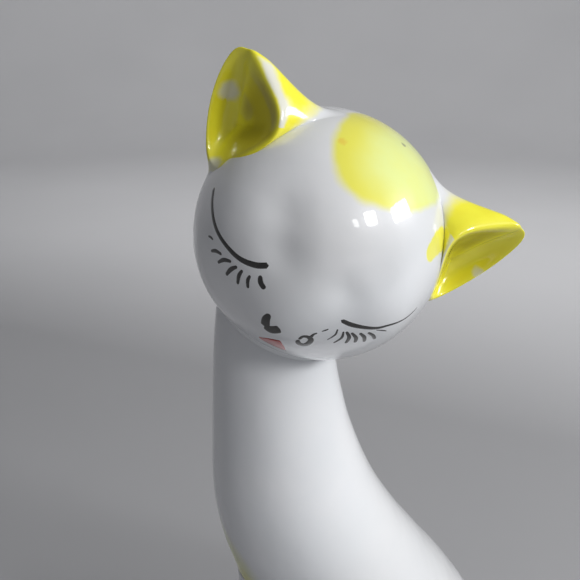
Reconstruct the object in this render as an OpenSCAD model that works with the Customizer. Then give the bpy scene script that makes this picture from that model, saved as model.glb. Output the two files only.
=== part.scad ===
// Seated long-necked cat figurine, slip cast in parts and luted together.
// +Z is up, the cat's chest faces -Y and its left side is +X.
// The origin is the middle of the flat foot that it rests on.

/* [Body] */
// Width of the body across the haunches
body_w = 60; // [50:1:72]
// Depth of the body from foreleg line to rump
body_d = 69; // [58:1:83]
// Height of the neck's upper end, at the middle of the neck
neck_h = 129; // [108:1:155]
// Diameter of the neck under the head
neck_d = 24; // [20:0.5:29]
// How far the haunches swell out of the sides
haunch_relief = 3; // [0:0.2:4]
// Radius of the foot's outer edge
foot_round = 3; // [1:0.5:4]

/* [Casting] */
// Thickness of the cast wall
wall = 3; // [2:0.1:3.6]
// Thickness of the cast floor
floor_t = 4; // [3:0.5:6]
// Diameter of the pouring hole in the floor
pour_d = 34; // [28:1:38]
// Diameter of the vent hole in the base disc
vent_d = 3.5; // [2:0.5:5]
// Distance of the vent hole behind the middle of the base disc
vent_back = 9; // [6:0.5:11]
// Thickness of the slip between two luted pieces
slip_t = 0.4; // [0.2:0.1:0.8]
// Height of the bead of slip under the head
bead = 0.9; // [0.5:0.1:1.5]

/* [Head] */
// Diameter of the head
head_d = 49; // [41:1:58]
// How far the head is turned to the cat's left
head_turn = 38; // [0:1:60]
// How far the face looks down
head_nod = 6; // [-5:1:15]
// How far the head leans over to the cat's left
head_tilt = 32; // [0:1:40]
// Length of the ears, as a factor of the drawn ear
ear_stretch = 1; // [0.8:0.05:1.2]

/* [Legs] */
// Width of a foreleg
foreleg_w = 13; // [11:0.5:15.5]
// How far a foreleg stands out of the body
foreleg_out = 7; // [5:0.5:9]
// Extra length of a front paw beyond its leg
paw_out = 4.5; // [3:0.5:6]
// Width of a hind paw
hind_paw_w = 15; // [12:0.5:18]
// How far a hind paw stands out of the body
hind_paw_out = 7.5; // [6:0.5:9]

/* [Tail] */
// Width of the tail at its root
tail_w = 13; // [10:0.5:15]
// How far the tail stands out of the body
tail_out = 6.5; // [4:0.5:8]

/* [Hidden] */

WHITE = "#e9ebe8";
BISQUE = "#d8cfbf";
YELLOW = "#f0e23c";

AROUND = 48;              // points round the body and the head
neck_r = neck_d / 2;
head_r = head_d / 2;
pour_r = pour_d / 2;
fit = 0.2;                // gap round the base disc
skin = 0.05;              // luted pieces stand this far off the surface under them
seat_cover = 2.2;         // least cover of the head past the neck's edge
head_lean_dir = 12;       // direction in which the tilted head moves off the neck
neck_blend = 26;          // stretch of neck that leans to meet the head

// The spine: [share of neck height, sideways, forward and back, fullness between neck and body]
SPINE = [
    [0.00,  0.0,   0.0, 0.91], [0.09,  0.0,   0.5, 0.975], [0.22,  0.0,   2.0, 1.00],
    [0.34,  0.0,   3.5, 0.90], [0.45,  0.0,  -1.0, 0.69],  [0.56,  0.0,  -9.0, 0.52],
    [0.65, -0.5, -15.5, 0.40], [0.74, -1.5, -20.0, 0.275], [0.84, -3.0, -22.0, 0.145],
    [0.93, -4.5, -22.0, 0.06], [1.00, -5.5, -21.2, 0.00]];

// ---- small helpers ----
function unit(v) = v / norm(v);
function lerp(a, b, t) = a + (b - a) * t;
function ease(t) = let (x = max(0, min(1, t))) x * x * (3 - 2 * x);
function bell(d, w) = exp(-pow(d / w, 2));
function turn_gap(a, b) = abs((a - b + 540) % 360 - 180);

// Value of the spine table at share h: a smooth curve through its rows
function slope(i) = let (a = SPINE[max(0, i - 1)], b = SPINE[min(len(SPINE) - 1, i + 1)])
    (b - a) / (b[0] - a[0]);
function spine_row(h, i = 0) = i == len(SPINE) - 2 || h < SPINE[i + 1][0] ? i : spine_row(h, i + 1);
function spine(share) = let (h = max(0, min(1, share)), i = spine_row(h),
    p = SPINE[i], q = SPINE[i + 1], w = q[0] - p[0], t = (h - p[0]) / w)
    (2*t*t*t - 3*t*t + 1) * p + (t*t*t - 2*t*t + t) * w * slope(i)
    + (3*t*t - 2*t*t*t) * q + (t*t*t - t*t) * w * slope(i + 1);

// ---- body ----
// How far the foot's rounded edge draws in at height z
function foot_in(z) = z >= foot_round ? 0
    : foot_round - sqrt(pow(foot_round, 2) - pow(foot_round - max(z, 0), 2));
// The swell of the two haunches at angle a, measured from +X towards +Y: a low dome with a soft edge
function thigh(a, z, side) = ease(1.5 - 1.5 * norm([turn_gap(a, side) / 52, z / (0.19 * neck_h) - 1]));
function haunch(a, z) = haunch_relief * (thigh(a, z, 12) + thigh(a, z, 168));
// A point of the body at angle a and height z, standing out by e
function body_pt(a, z, e = 0) = let (s = spine(z / neck_h), out = e - foot_in(z) + haunch(a, z))
    [s[1] + (lerp(neck_r, body_w / 2, s[3]) + out) * cos(a),
     s[2] + (lerp(neck_r, body_d / 2, s[3]) + out) * sin(a), z];

// ---- head ----
neck_top = [SPINE[len(SPINE) - 1][1], SPINE[len(SPINE) - 1][2], neck_h];
head_shift = head_r - neck_r - seat_cover;
head_c = neck_top + [head_shift * cos(head_lean_dir), head_shift * sin(head_lean_dir),
    sqrt(head_r * head_r - head_shift * head_shift)];
crown = unit(head_c - neck_top);

// Turns a vector [to the cat's left, forward, up] of the head into the model's axes
function tilted(v) = [v[0] * cos(head_tilt) + v[2] * sin(head_tilt), -v[1],
    v[2] * cos(head_tilt) - v[0] * sin(head_tilt)];
function nodded(v) = [v[0], v[1] * cos(head_nod) - v[2] * sin(head_nod),
    v[1] * sin(head_nod) + v[2] * cos(head_nod)];
function turned(v) = [v[0] * cos(head_turn) - v[1] * sin(head_turn),
    v[0] * sin(head_turn) + v[1] * cos(head_turn), v[2]];
function head_vec(v) = turned(nodded(tilted(v)));
// Direction on the head: side angle from the nose towards the cat's left, and lift
function face_dir(side, lift) = head_vec([sin(side) * cos(lift), cos(side) * cos(lift), sin(lift)]);

// Soft forms of the head: [side angle, lift, spread in degrees, height]
FORMS = [[2, -22, 18, 1.8], [-40, 3, 18, 1.4], [40, 3, 18, 1.4], [-24, 18, 9, -0.6], [-16, 6, 9, -0.9],
    [24, 18, 9, -0.6], [16, 6, 9, -0.9], [0, -60, 28, -0.6]];
FORM_DIRS = [for (f = FORMS) face_dir(f[0], f[1])];
function head_radius(d) = head_r + [for (i = [0 : len(FORMS) - 1])
    FORMS[i][3] * bell(acos(max(-1, min(1, d * FORM_DIRS[i]))), FORMS[i][2])] * [for (f = FORMS) 1];
function head_pt(d, e = 0) = head_c + (head_radius(d) + e) * d;
function on_head(p, e = 0) = head_pt(unit(p - head_c), e);
// Height at which a vertical line through p meets the underside of the head, e outside it
function seat_z(p, e, z, tries = 4) = tries == 0 ? z :
    let (r = head_radius(unit([p[0], p[1], z] - head_c)) + e,
        flat = norm([p[0] - head_c[0], p[1] - head_c[1]]))
    seat_z(p, e, head_c[2] - sqrt(r * r - flat * flat), tries - 1);

// ---- closed surfaces made of rings of points ----
function ring_faces(rings, n, wrap) = [for (i = [0 : rings - (wrap ? 1 : 2)], j = [0 : n - 1])
    let (a = i * n + j, b = i * n + (j + 1) % n, k = (i + 1) % rings, c = k * n + j, d = k * n + (j + 1) % n)
    each [[a, d, b], [a, c, d]]];
// A tube bent back on itself: the last ring joins the first
module loop_solid(rings) {
    polyhedron([for (r = rings) each r], ring_faces(len(rings), len(rings[0]), true), convexity = 6);
}
// A stack of rings closed by a fan of triangles at each end
module capped_solid(rings, first_pt, last_pt) {
    n = len(rings[0]);
    m = len(rings);
    polyhedron(concat([for (r = rings) each r], [first_pt, last_pt]), concat(ring_faces(m, n, false),
        [for (j = [0 : n - 1]) [j, (j + 1) % n, m * n]],
        [for (j = [0 : n - 1]) [(m - 1) * n + (j + 1) % n, (m - 1) * n + j, m * n + 1]]), convexity = 6);
}
function middle(ring) = [for (p = ring) 1 / len(ring)] * ring;
function round_angles(n) = [for (j = [0 : n - 1]) 360 * j / n];

// ---- smooth curves drawn by control rows ----
function spline_weights(t) = [pow(1 - t, 3), 3*t*t*t - 6*t*t + 4, -3*t*t*t + 3*t*t + 3*t + 1, t*t*t] / 6;
function closed_spline(rows, x) = let (n = len(rows), i = floor(x), w = spline_weights(x - i))
    w * [for (k = [-1 : 2]) rows[(i + k + n) % n]];
function open_spline(rows, x) = let (n = len(rows), i = min(floor(x), n - 2), w = spline_weights(x - i),
    all = concat([2 * rows[0] - rows[1]], rows, [2 * rows[n - 1] - rows[n - 2]]))
    w * [for (k = [0 : 3]) all[i + k]];

// ---- the hollow castings ----
// Wall of the body: its upper end leans to meet the head, slip_t short of it
function wall_pt(a, z, e) = let (top = seat_z(body_pt(a, neck_h, e), slip_t, neck_h))
    body_pt(a, z, e) + [0, 0, (top - neck_h) * ease((z - neck_h + neck_blend) / neck_blend)];
function disc_ring(r, z) = [for (a = round_angles(AROUND)) [r * cos(a), r * sin(a), z]];
OUTER_STEPS = 24;
INNER_STEPS = 18;
outer_heights = concat([0, 0.3 * foot_round],
    [for (k = [0 : OUTER_STEPS]) lerp(foot_round, neck_h, k / OUTER_STEPS)]);
inner_heights = [for (k = [0 : INNER_STEPS]) lerp(neck_h, floor_t, k / INNER_STEPS)];

module body_casting() {
    color(WHITE) loop_solid(concat(
        [for (z = outer_heights) [for (a = round_angles(AROUND)) wall_pt(a, z, 0)]],
        [for (z = inner_heights) [for (a = round_angles(AROUND)) wall_pt(a, z, -wall)]],
        [disc_ring(pour_r, floor_t), disc_ring(pour_r, 0)]));
}

// Disc luted into the pouring hole, with its underside level with the foot
module base_disc() {
    color(BISQUE) difference() {
        cylinder(r = pour_r - fit, h = floor_t, $fn = 96);
        translate([0, vent_back, -1]) cylinder(d = vent_d, h = floor_t + 2, $fn = 32);
    }
}

// Point above or below the seam between neck and head, e out from the neck's wall
function seam_pt(a, e, above) = let (p = body_pt(a, neck_h, e)) [p[0], p[1], seat_z(p, above, neck_h)];
module neck_slip_joint() {
    color(BISQUE) loop_solid([
        [for (a = round_angles(AROUND)) seam_pt(a, 0, slip_t) - [0, 0, bead]],
        [for (a = round_angles(AROUND)) seam_pt(a, 0.8 * bead, 0)],
        [for (a = round_angles(AROUND)) seam_pt(a, -wall, 0)],
        [for (a = round_angles(AROUND)) seam_pt(a, -wall, slip_t)],
        [for (a = round_angles(AROUND)) seam_pt(a, 0, slip_t)]]);
}

// Direction part of the way from the neck opening's edge, at angle a, to the crown
function meridian(a, t) = let (from = unit(seam_pt(a, -wall, 0) - head_c), whole = acos(from * crown))
    (sin((1 - t) * whole) * from + sin(t * whole) * crown) / sin(whole);
HEAD_STEPS = 22;
CAVITY_STEPS = 15;
module head_casting() {
    color(WHITE) capped_solid(concat(
        [for (k = [CAVITY_STEPS - 1 : -1 : 0])
            [for (a = round_angles(AROUND)) head_pt(meridian(a, k / CAVITY_STEPS), -wall)]],
        [for (k = [0 : HEAD_STEPS - 1])
            [for (a = round_angles(AROUND)) head_pt(meridian(a, k / HEAD_STEPS))]]),
        head_pt(crown, -wall), head_pt(crown));
}

// ---- ears ----
// Eight stations round an ear: [side angle and lift of its foot, its rim from the head's middle, share of lip]
// in order medial front, medial, medial back, back, lateral back, lateral, lateral front, front
EAR = [
    [ 75,  49, 17.3,  9.2, 16.6, 0.11], [ 85, 74, 27.5,  3.0, 22.0, 0.28], [109, 66, 31.0, 1.8, 24.0, 0.32],
    [122,  34, 31.0,  0.6, 23.0, 0.21], [118,  8, 34.0,  0.2, 23.0, 0.21], [100, -12, 32.5, -3.0, 10.5, 0.17],
    [ 85,  -7, 25.0,  0.3, -1.5, 0.02], [ 74, 18, 22.7,  9.0,  6.6, 0.11]];
EAR_FLOOR = [24.7, -3.2, 9.0];      // deepest point of the ear's cup
EAR_DRAWN_FOR = 24.5;               // head radius that the rim points are drawn for
EAR_EDGE = 0.25;                    // thickness left at the ear's feathered edge
EAR_LEFT_SET = [0, 0];              // raise and swing: the ears are set by hand, not quite alike
EAR_RIGHT_SET = [2.7, 9];
ear_foot = [for (r = EAR) head_r * [sin(r[0]) * cos(r[1]), cos(r[0]) * cos(r[1]), sin(r[1])]];
ear_rim = [for (i = [0 : len(EAR) - 1])
    let (drawn = [EAR[i][2], EAR[i][3], EAR[i][4]] * head_r / EAR_DRAWN_FOR)
    lerp(head_r * unit(drawn), drawn, ear_stretch)];
ear_floor = EAR_FLOOR * head_r / EAR_DRAWN_FOR;
ear_mouth = middle(ear_rim);
ear_inner = [for (i = [0 : len(EAR) - 1]) lerp(ear_rim[i], ear_mouth, EAR[i][5]) - [0, 0.6, 0]];
// Rows of the ear's control net: foot, two on the outside, rim, inner rim, cup wall, cup floor, its middle
ear_rows = [ear_foot, lerp(ear_foot, ear_rim, 0.38), lerp(ear_foot, ear_rim, 0.8), ear_rim, ear_inner,
    [for (p = ear_inner) lerp(p, ear_floor, 0.45) - [0, 1.5, 0]],
    [for (p = ear_inner) lerp(p, ear_floor, 0.8)], [for (p = ear_inner) ear_floor]];
function raised(v, turn) = [v[0] * cos(turn) - v[2] * sin(turn), v[1], v[0] * sin(turn) + v[2] * cos(turn)];
function swung(v, turn) = [v[0] * cos(turn) - v[1] * sin(turn), v[0] * sin(turn) + v[1] * cos(turn), v[2]];
// A point of the ear: t round it, v from 0 at its foot to 1 at the middle of the cup; side is 1 or -1
function ear_pt(t, v, side, set) = let (
    net = [for (row = ear_rows) closed_spline(row, t * len(EAR))],
    q = swung(raised(open_spline(net, v * (len(net) - 1)), set[0]), set[1]),
    p = head_c + head_vec([side * q[0], q[1], q[2]]), free = ease(v / 0.33))
    lerp(on_head(p, skin + EAR_EDGE), p, free);
EAR_AROUND = 28;
EAR_STEPS = 22;
module ear(side, set) {
    order = side > 0 ? 1 : -1;
    rings = [for (k = [0 : EAR_STEPS - 1])
        [for (j = [0 : EAR_AROUND - 1]) ear_pt((order * j / EAR_AROUND + 1) % 1, k / EAR_STEPS, side, set)]];
    sole = middle(rings[0]);
    under = [for (k = [1 : 4]) [for (p = rings[0]) on_head(lerp(sole, p, k / 4), skin)]];
    color(YELLOW) capped_solid(concat(under, rings), on_head(sole, skin), ear_pt(0, 1, side, set));
}
module ear_left() { ear(1, EAR_LEFT_SET); }
module ear_right() { ear(-1, EAR_RIGHT_SET); }

// ---- forms luted onto the body: rows of [angle, height, half width, how far out] ----
function arc_r(a, z) = let (m = spine(z / neck_h)[3])
    norm([lerp(neck_r, body_w / 2, m) * sin(a), lerp(neck_r, body_d / 2, m) * cos(a)]);
function relief_ring(rows, x, n) = let (
    r = open_spline(rows, x), step = 0.05, last = len(rows) - 1,
    way = open_spline(rows, min(x + step, last)) - open_spline(rows, max(x - step, 0)),
    across = unit([-way[1], way[0] * arc_r(r[0], r[1]) * PI / 180]))
    [for (k = [0 : 2 * n - 1]) let (
        t = k <= n ? 180 * k / n : 180 * (2 * n - k) / n,
        off = r[2] * cos(t), out = k <= n ? r[3] * sin(t) : 0)
        body_pt(r[0] + off * across[0] / arc_r(r[0], r[1]) * 180 / PI, r[1] + off * across[1], skin + out)];
module relief(rows, steps, n = 8) {
    rings = [for (k = [0 : steps]) relief_ring(rows, k / steps * (len(rows) - 1), n)];
    capped_solid(rings, middle(rings[0]), middle(rings[steps]));
}

ground = 0.5;                       // height of the lowest edge of the paws and tail
leg_gap = 0.4;                      // half the gap between the forelegs
leg_top = 0.56 * neck_h;
// Angle of a foreleg's middle line at height z, on the left of the chest
function leg_angle(z) = -90 + (foreleg_w / 2 + leg_gap) / arc_r(-90, z) * 180 / PI;
foreleg_rows = [for (r = [
        [leg_top, 0.4, 0.02], [0.93 * leg_top, 0.8, 0.14], [0.82 * leg_top, 0.97, 0.6], [0.68 * leg_top, 1, 0.95],
        [0.5 * leg_top, 0.98, 1], [0.34 * leg_top, 0.96, 1], [14, 0.97, 1]])
    [leg_angle(r[0]), r[0], r[1] * foreleg_w / 2, r[2] * foreleg_out]];
front_paw_rows = [for (r = [[9, 0.98, 0.2], [6, 1, 0.85], [3, 1, 1.02], [ground, 0.95, 0.9]])
    [leg_angle(r[0]), r[0], r[1] * foreleg_w / 2, foreleg_out + r[2] * paw_out]];
module foreleg() { color(WHITE) relief(concat(foreleg_rows, front_paw_rows), 30); }
module foreleg_left() { foreleg(); }
module foreleg_right() { mirror([1, 0, 0]) foreleg(); }

hind_paw_angle = -38;
hind_paw_rows = [for (r = [[13, 0.35, 0.02], [11.5, 0.75, 0.35], [8.5, 0.95, 0.8], [5, 1, 1], [2, 0.98, 1], [ground, 0.92, 0.9]])
    [hind_paw_angle, r[0], r[1] * hind_paw_w / 2, r[2] * hind_paw_out]];
module hind_paw() { color(WHITE) relief(hind_paw_rows, 12); }
module hind_paw_left() { hind_paw(); }
module hind_paw_right() { mirror([1, 0, 0]) hind_paw(); }

// The tail leaves the rump, lies round the left haunch and turns up at its tip
tail_low = ground + tail_w / 2;
tail_rows = [for (r = [
        [96, 24, 0.45, 0.02], [95, 19, 0.75, 0.45], [92, 12, 0.95, 0.85], [84, 5.5, 1, 1], [70, 1.6, 1, 1],
        [52, 0.2, 0.97, 1], [32, 0, 0.93, 0.95], [14, 0, 0.87, 0.92], [0, 0.5, 0.8, 0.85], [-9, 2.4, 0.7, 0.78],
        [-14, 5.6, 0.6, 0.65], [-15.5, 8.6, 0.45, 0.4], [-16, 10.4, 0.2, 0.04]])
    [r[0], tail_low + r[1], r[2] * tail_w / 2, r[3] * tail_out]];
module tail() { color(WHITE) relief(tail_rows, 36, 7); }

body_casting();
base_disc();
neck_slip_joint();
head_casting();
ear_left();
ear_right();
foreleg_left();
foreleg_right();
hind_paw_left();
hind_paw_right();
tail();
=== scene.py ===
import math

import bpy
import numpy as np
from mathutils import Matrix, Vector


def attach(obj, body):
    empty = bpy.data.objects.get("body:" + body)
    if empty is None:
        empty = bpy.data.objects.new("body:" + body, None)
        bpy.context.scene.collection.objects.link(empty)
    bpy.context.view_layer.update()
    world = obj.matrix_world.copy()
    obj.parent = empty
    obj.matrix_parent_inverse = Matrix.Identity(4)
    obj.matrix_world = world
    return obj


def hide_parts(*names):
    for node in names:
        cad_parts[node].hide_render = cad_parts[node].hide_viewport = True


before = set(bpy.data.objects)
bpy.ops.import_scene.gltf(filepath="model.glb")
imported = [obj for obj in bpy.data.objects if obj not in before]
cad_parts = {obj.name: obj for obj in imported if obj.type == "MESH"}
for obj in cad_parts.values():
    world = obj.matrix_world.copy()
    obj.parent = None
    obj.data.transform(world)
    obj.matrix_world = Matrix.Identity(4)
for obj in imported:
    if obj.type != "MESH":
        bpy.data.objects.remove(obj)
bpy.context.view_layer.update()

bl_info = {
    "name": "Long-necked cat figurine",
    "version": (1, 0, 0),
    "blender": (4, 5, 0),
    "location": "View3D > Sidebar > Figurine",
    "description": "Glazed and painted surfaces of a seated long-necked cat, built round its cast parts",
    "category": "Add Mesh",
}

MM = 0.001

# The spine: [share of neck height, sideways, forward and back, fullness between neck and body], in mm
SPINE = [
    [0.00, 0.0, 0.0, 0.91], [0.09, 0.0, 0.5, 0.975], [0.22, 0.0, 2.0, 1.00], [0.34, 0.0, 3.5, 0.90],
    [0.45, 0.0, -1.0, 0.69], [0.56, 0.0, -9.0, 0.52], [0.65, -0.5, -15.5, 0.40], [0.74, -1.5, -20.0, 0.275],
    [0.84, -3.0, -22.0, 0.145], [0.93, -4.5, -22.0, 0.06], [1.00, -5.5, -21.2, 0.00]]
SEAT_COVER = 2.2        # least cover of the head past the neck's edge
LEAN_WAY = 12           # direction in which the tilted head moves off the neck, in degrees
NECK_BLEND = 26         # stretch of neck that leans to meet the head
HAUNCH_SIDES = (12, 168)    # angles of the haunches round the body
HAUNCH_SPREAD = 52          # how far round a haunch reaches, in degrees
HAUNCH_HEIGHT = 0.19        # height of its middle, as a share of the neck's height
SLIP = 0.4              # thickness of the slip under the head

# Soft forms of the head: [side angle from the nose to the cat's left, lift, spread in degrees, height in mm]
FORMS = [[2, -22, 18, 1.8], [-40, 3, 18, 1.4], [40, 3, 18, 1.4], [-24, 18, 9, -0.6], [-16, 6, 9, -0.9],
         [24, 18, 9, -0.6], [16, 6, 9, -0.9], [0, -60, 28, -0.6]]

# Eight stations round an ear: [side angle and lift of its foot, its rim from the head's middle in mm, lip]
EAR = [
    [75, 49, 17.3, 9.2, 16.6, 0.11], [85, 74, 27.5, 3.0, 22.0, 0.28], [109, 66, 31.0, 1.8, 24.0, 0.32],
    [122, 34, 31.0, 0.6, 23.0, 0.21], [118, 8, 34.0, 0.2, 23.0, 0.21], [100, -12, 32.5, -3.0, 10.5, 0.17],
    [85, -7, 25.0, 0.3, -1.5, 0.02], [74, 18, 22.7, 9.0, 6.6, 0.11]]
EAR_FLOOR = [24.7, -3.2, 9.0]
EAR_DRAWN_FOR = 24.5
EAR_SET = {"left": (0, 0), "right": (2.7, 9)}     # raise and swing of each ear, in degrees
EAR_AROUND, EAR_ALONG = 128, 112                  # points round an ear and from its foot to its floor

# Yellow patch on the crown: its middle and that of its thin part as [to the cat's left, forward, up], in
# shares of the head's radius, their half sizes in the same, and the ways in which the patch is long and short
CROWN_PATCH = [0.12, 0.19, 0.95]
CROWN_PALE = [0.26, 0.20, 0.93]
CROWN_PATCH_REACH = [0.66, 0.45, 1.2]
CROWN_PALE_REACH = [0.5, 0.36, 1.2]
CROWN_LONG_WAY = [-0.38, 0.81, -0.44]
CROWN_SHORT_WAY = [0.92, 0.31, -0.23]

# Dabs where the brush left the ears: [side angle, lift, radius in mm]
BRUSHED = [[53, 33, 1.8], [56, 34.5, 1.9], [60, 36, 2.1], [65, 37, 2.3]]

# Specks fired into the crown, a dark one and an orange one: side angle, lift, radius in mm, strength, colour
FIRED_SPECKS = [(49.5, 80.5, 0.5, 0.7, (0.16, 0.18, 0.12, 1)), (-34, 58, 0.8, 0.4, (0.85, 0.45, 0.05, 1))]

# Spots that the ears' yellow missed: ear, place round it, place from its foot to its floor, radius in mm
EAR_MISSED = [("right", 0.555, 0.70, 1.9), ("right", 0.77, 0.34, 2.0),
              ("left", 0.37, 0.56, 1.1), ("left", 0.165, 0.37, 2.0)]

# Yellow patch on the shoulder: [angle round the body, height, radius]
SHOULDER_PATCH = [220, 74, 18]

# Strokes of the brush: a path of [side angle, lift] over the head and the line's widths along it in mm
EYE_LINE_RIGHT = ([(-62.5, 3.3), (-56, -0.5), (-45.4, -4.8), (-37, -6.5), (-28.7, -6.9), (-21.8, -4.8),
                   (-17.2, -1.6)], [0.9, 0.9, 0.9, 0.9, 1.0, 1.1, 1.05])
LASHES_RIGHT = [
    ([(-44.2, -10.2), (-46.4, -10.7), (-48.4, -11.7)], [0.4, 0.5, 0.3]),
    ([(-36.8, -11.8), (-40.6, -13.2), (-43.8, -15.9)], [0.55, 0.75, 0.5]),
    ([(-31.2, -10.8), (-34.9, -13.2), (-37.8, -17.3)], [0.6, 0.8, 0.5]),
    ([(-27.8, -10.7), (-30.0, -14.2), (-31.4, -18.8)], [0.55, 0.85, 0.6]),
    ([(-25.1, -10.3), (-25.4, -13.8), (-24.4, -17.8)], [0.5, 0.8, 0.6]),
    ([(-21.2, -9.8), (-21.0, -12.5), (-19.4, -15.4)], [0.5, 0.75, 0.6]),
    ([(-17.7, -6.9), (-16.0, -9.2), (-13.2, -10.3)], [0.75, 1.05, 0.95]),
]
EYE_LINE_LEFT = ([(19.6, -5.5), (24.6, -5.5), (30, -4.5), (35.2, -2.9), (39.7, -0.2), (45.5, 2.6),
                  (49.7, 5.2), (53.4, 8.4)], [0.75, 0.95, 0.85, 0.7, 0.55, 0.45, 0.35, 0.25])
LASHES_LEFT = [
    ([(21.0, -9.9), (22.0, -13.2), (21.0, -17.2)], [0.3, 0.4, 0.25]),
    ([(24.0, -10.0), (25.8, -13.8), (25.1, -18.2)], [0.35, 0.55, 0.35]),
    ([(25.1, -9.5), (28.6, -12.2), (30.3, -16.4)], [0.5, 0.75, 0.55]),
    ([(27.4, -9.2), (31.4, -11.2), (33.8, -14.4)], [0.5, 0.75, 0.55]),
    ([(30.7, -7.9), (34.4, -9.5), (37.4, -12.5)], [0.5, 0.75, 0.55]),
    ([(33.7, -6.3), (37.3, -7.3), (40.6, -9.4)], [0.5, 0.7, 0.6]),
    ([(36.0, -3.9), (38.8, -3.4), (41.5, -3.4)], [0.2, 0.35, 0.2]),
]
NOSTRIL_RIGHT = [
    ([(-6.0, -17.8), (-6.0, -21.2), (-4.6, -25.0)], [0.8, 1.6, 1.9]),
    ([(-5.0, -24.8), (-2.0, -24.6), (1.0, -21.0)], [1.7, 1.9, 1.7]),
]
NOSTRIL_LEFT = [
    ([(10.3, -21.8), (10.5, -19.5), (12.4, -18.6), (14.6, -19.6), (15.3, -22.2), (14.6, -24.4), (12.4, -24.7),
      (10.8, -23.5), (10.3, -22.0)], [0.6, 0.65, 0.8, 1.0, 1.2, 1.25, 1.1, 0.9, 0.6]),
    ([(13.6, -18.4), (13.7, -16.4), (14.6, -15.0)], [0.8, 0.5, 0.35]),
    ([(15.7, -13.6), (16.8, -12.3), (17.5, -11.3)], [0.2, 0.35, 0.2]),
]
MOUTH = [([(9.5, -33.5), (5.0, -36.0), (1.0, -38.5), (-3.0, -40.5)], [6.4, 5.2, 3.2, 1.0])]


# ---------------------------------------------------------------- curves
def ease(t):
    """Smooth step: 3t^2 - 2t^3 of t held between 0 and 1."""
    t = np.clip(t, 0.0, 1.0)
    return t * t * (3.0 - 2.0 * t)


def bell(gap, spread):
    """Bell curve: e to the power of minus (gap over spread) squared."""
    return np.exp(-(gap / spread) ** 2)


def lerp(a, b, t):
    return a + (b - a) * t


def unit(v):
    return v / np.linalg.norm(v, axis=-1, keepdims=True)


def through(rows, at):
    """Curve through rows of [place, values]: cubic pieces whose slope at a row is that from the row before
    it to the row after it."""
    rows = np.array(rows, float)
    x, y = rows[:, 0], rows[:, 1:]
    k = np.arange(len(x))
    after, before = np.minimum(k + 1, len(x) - 1), np.maximum(k - 1, 0)
    slope = (y[after] - y[before]) / (x[after] - x[before])[:, None]
    at = np.clip(at, x[0], x[-1])
    i = np.clip(np.searchsorted(x, at, side="right") - 1, 0, len(x) - 2)
    w = x[i + 1] - x[i]
    t = ((at - x[i]) / w)[..., None]
    w = w[..., None]
    return ((2 * t**3 - 3 * t**2 + 1) * y[i] + (t**3 - 2 * t**2 + t) * w * slope[i]
            + (3 * t**2 - 2 * t**3) * y[i + 1] + (t**3 - t**2) * w * slope[i + 1])


def spline_weights(t):
    """The four cubic B-spline weights at t between two rows."""
    return np.stack([(1 - t) ** 3, 3 * t**3 - 6 * t**2 + 4, -3 * t**3 + 3 * t**2 + 3 * t + 1, t**3], -1) / 6


def closed_spline(rows, x):
    """Cubic B-spline that runs round the rows and back to the first one; x counts rows."""
    i = np.floor(x).astype(int)
    around = (i[..., None] + np.arange(-1, 3)) % len(rows)
    return np.einsum("...k,...kd->...d", spline_weights(x - i), rows[around])


def open_spline(rows, x):
    """Cubic B-spline from the first row to the last, which it meets because the rows are mirrored past it."""
    held = np.concatenate([[2 * rows[0] - rows[1]], rows, [2 * rows[-1] - rows[-2]]])
    i = np.minimum(np.floor(x).astype(int), len(rows) - 2)
    return np.einsum("...k,...kd->...d", spline_weights(x - i), held[i[..., None] + np.arange(4)])


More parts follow.
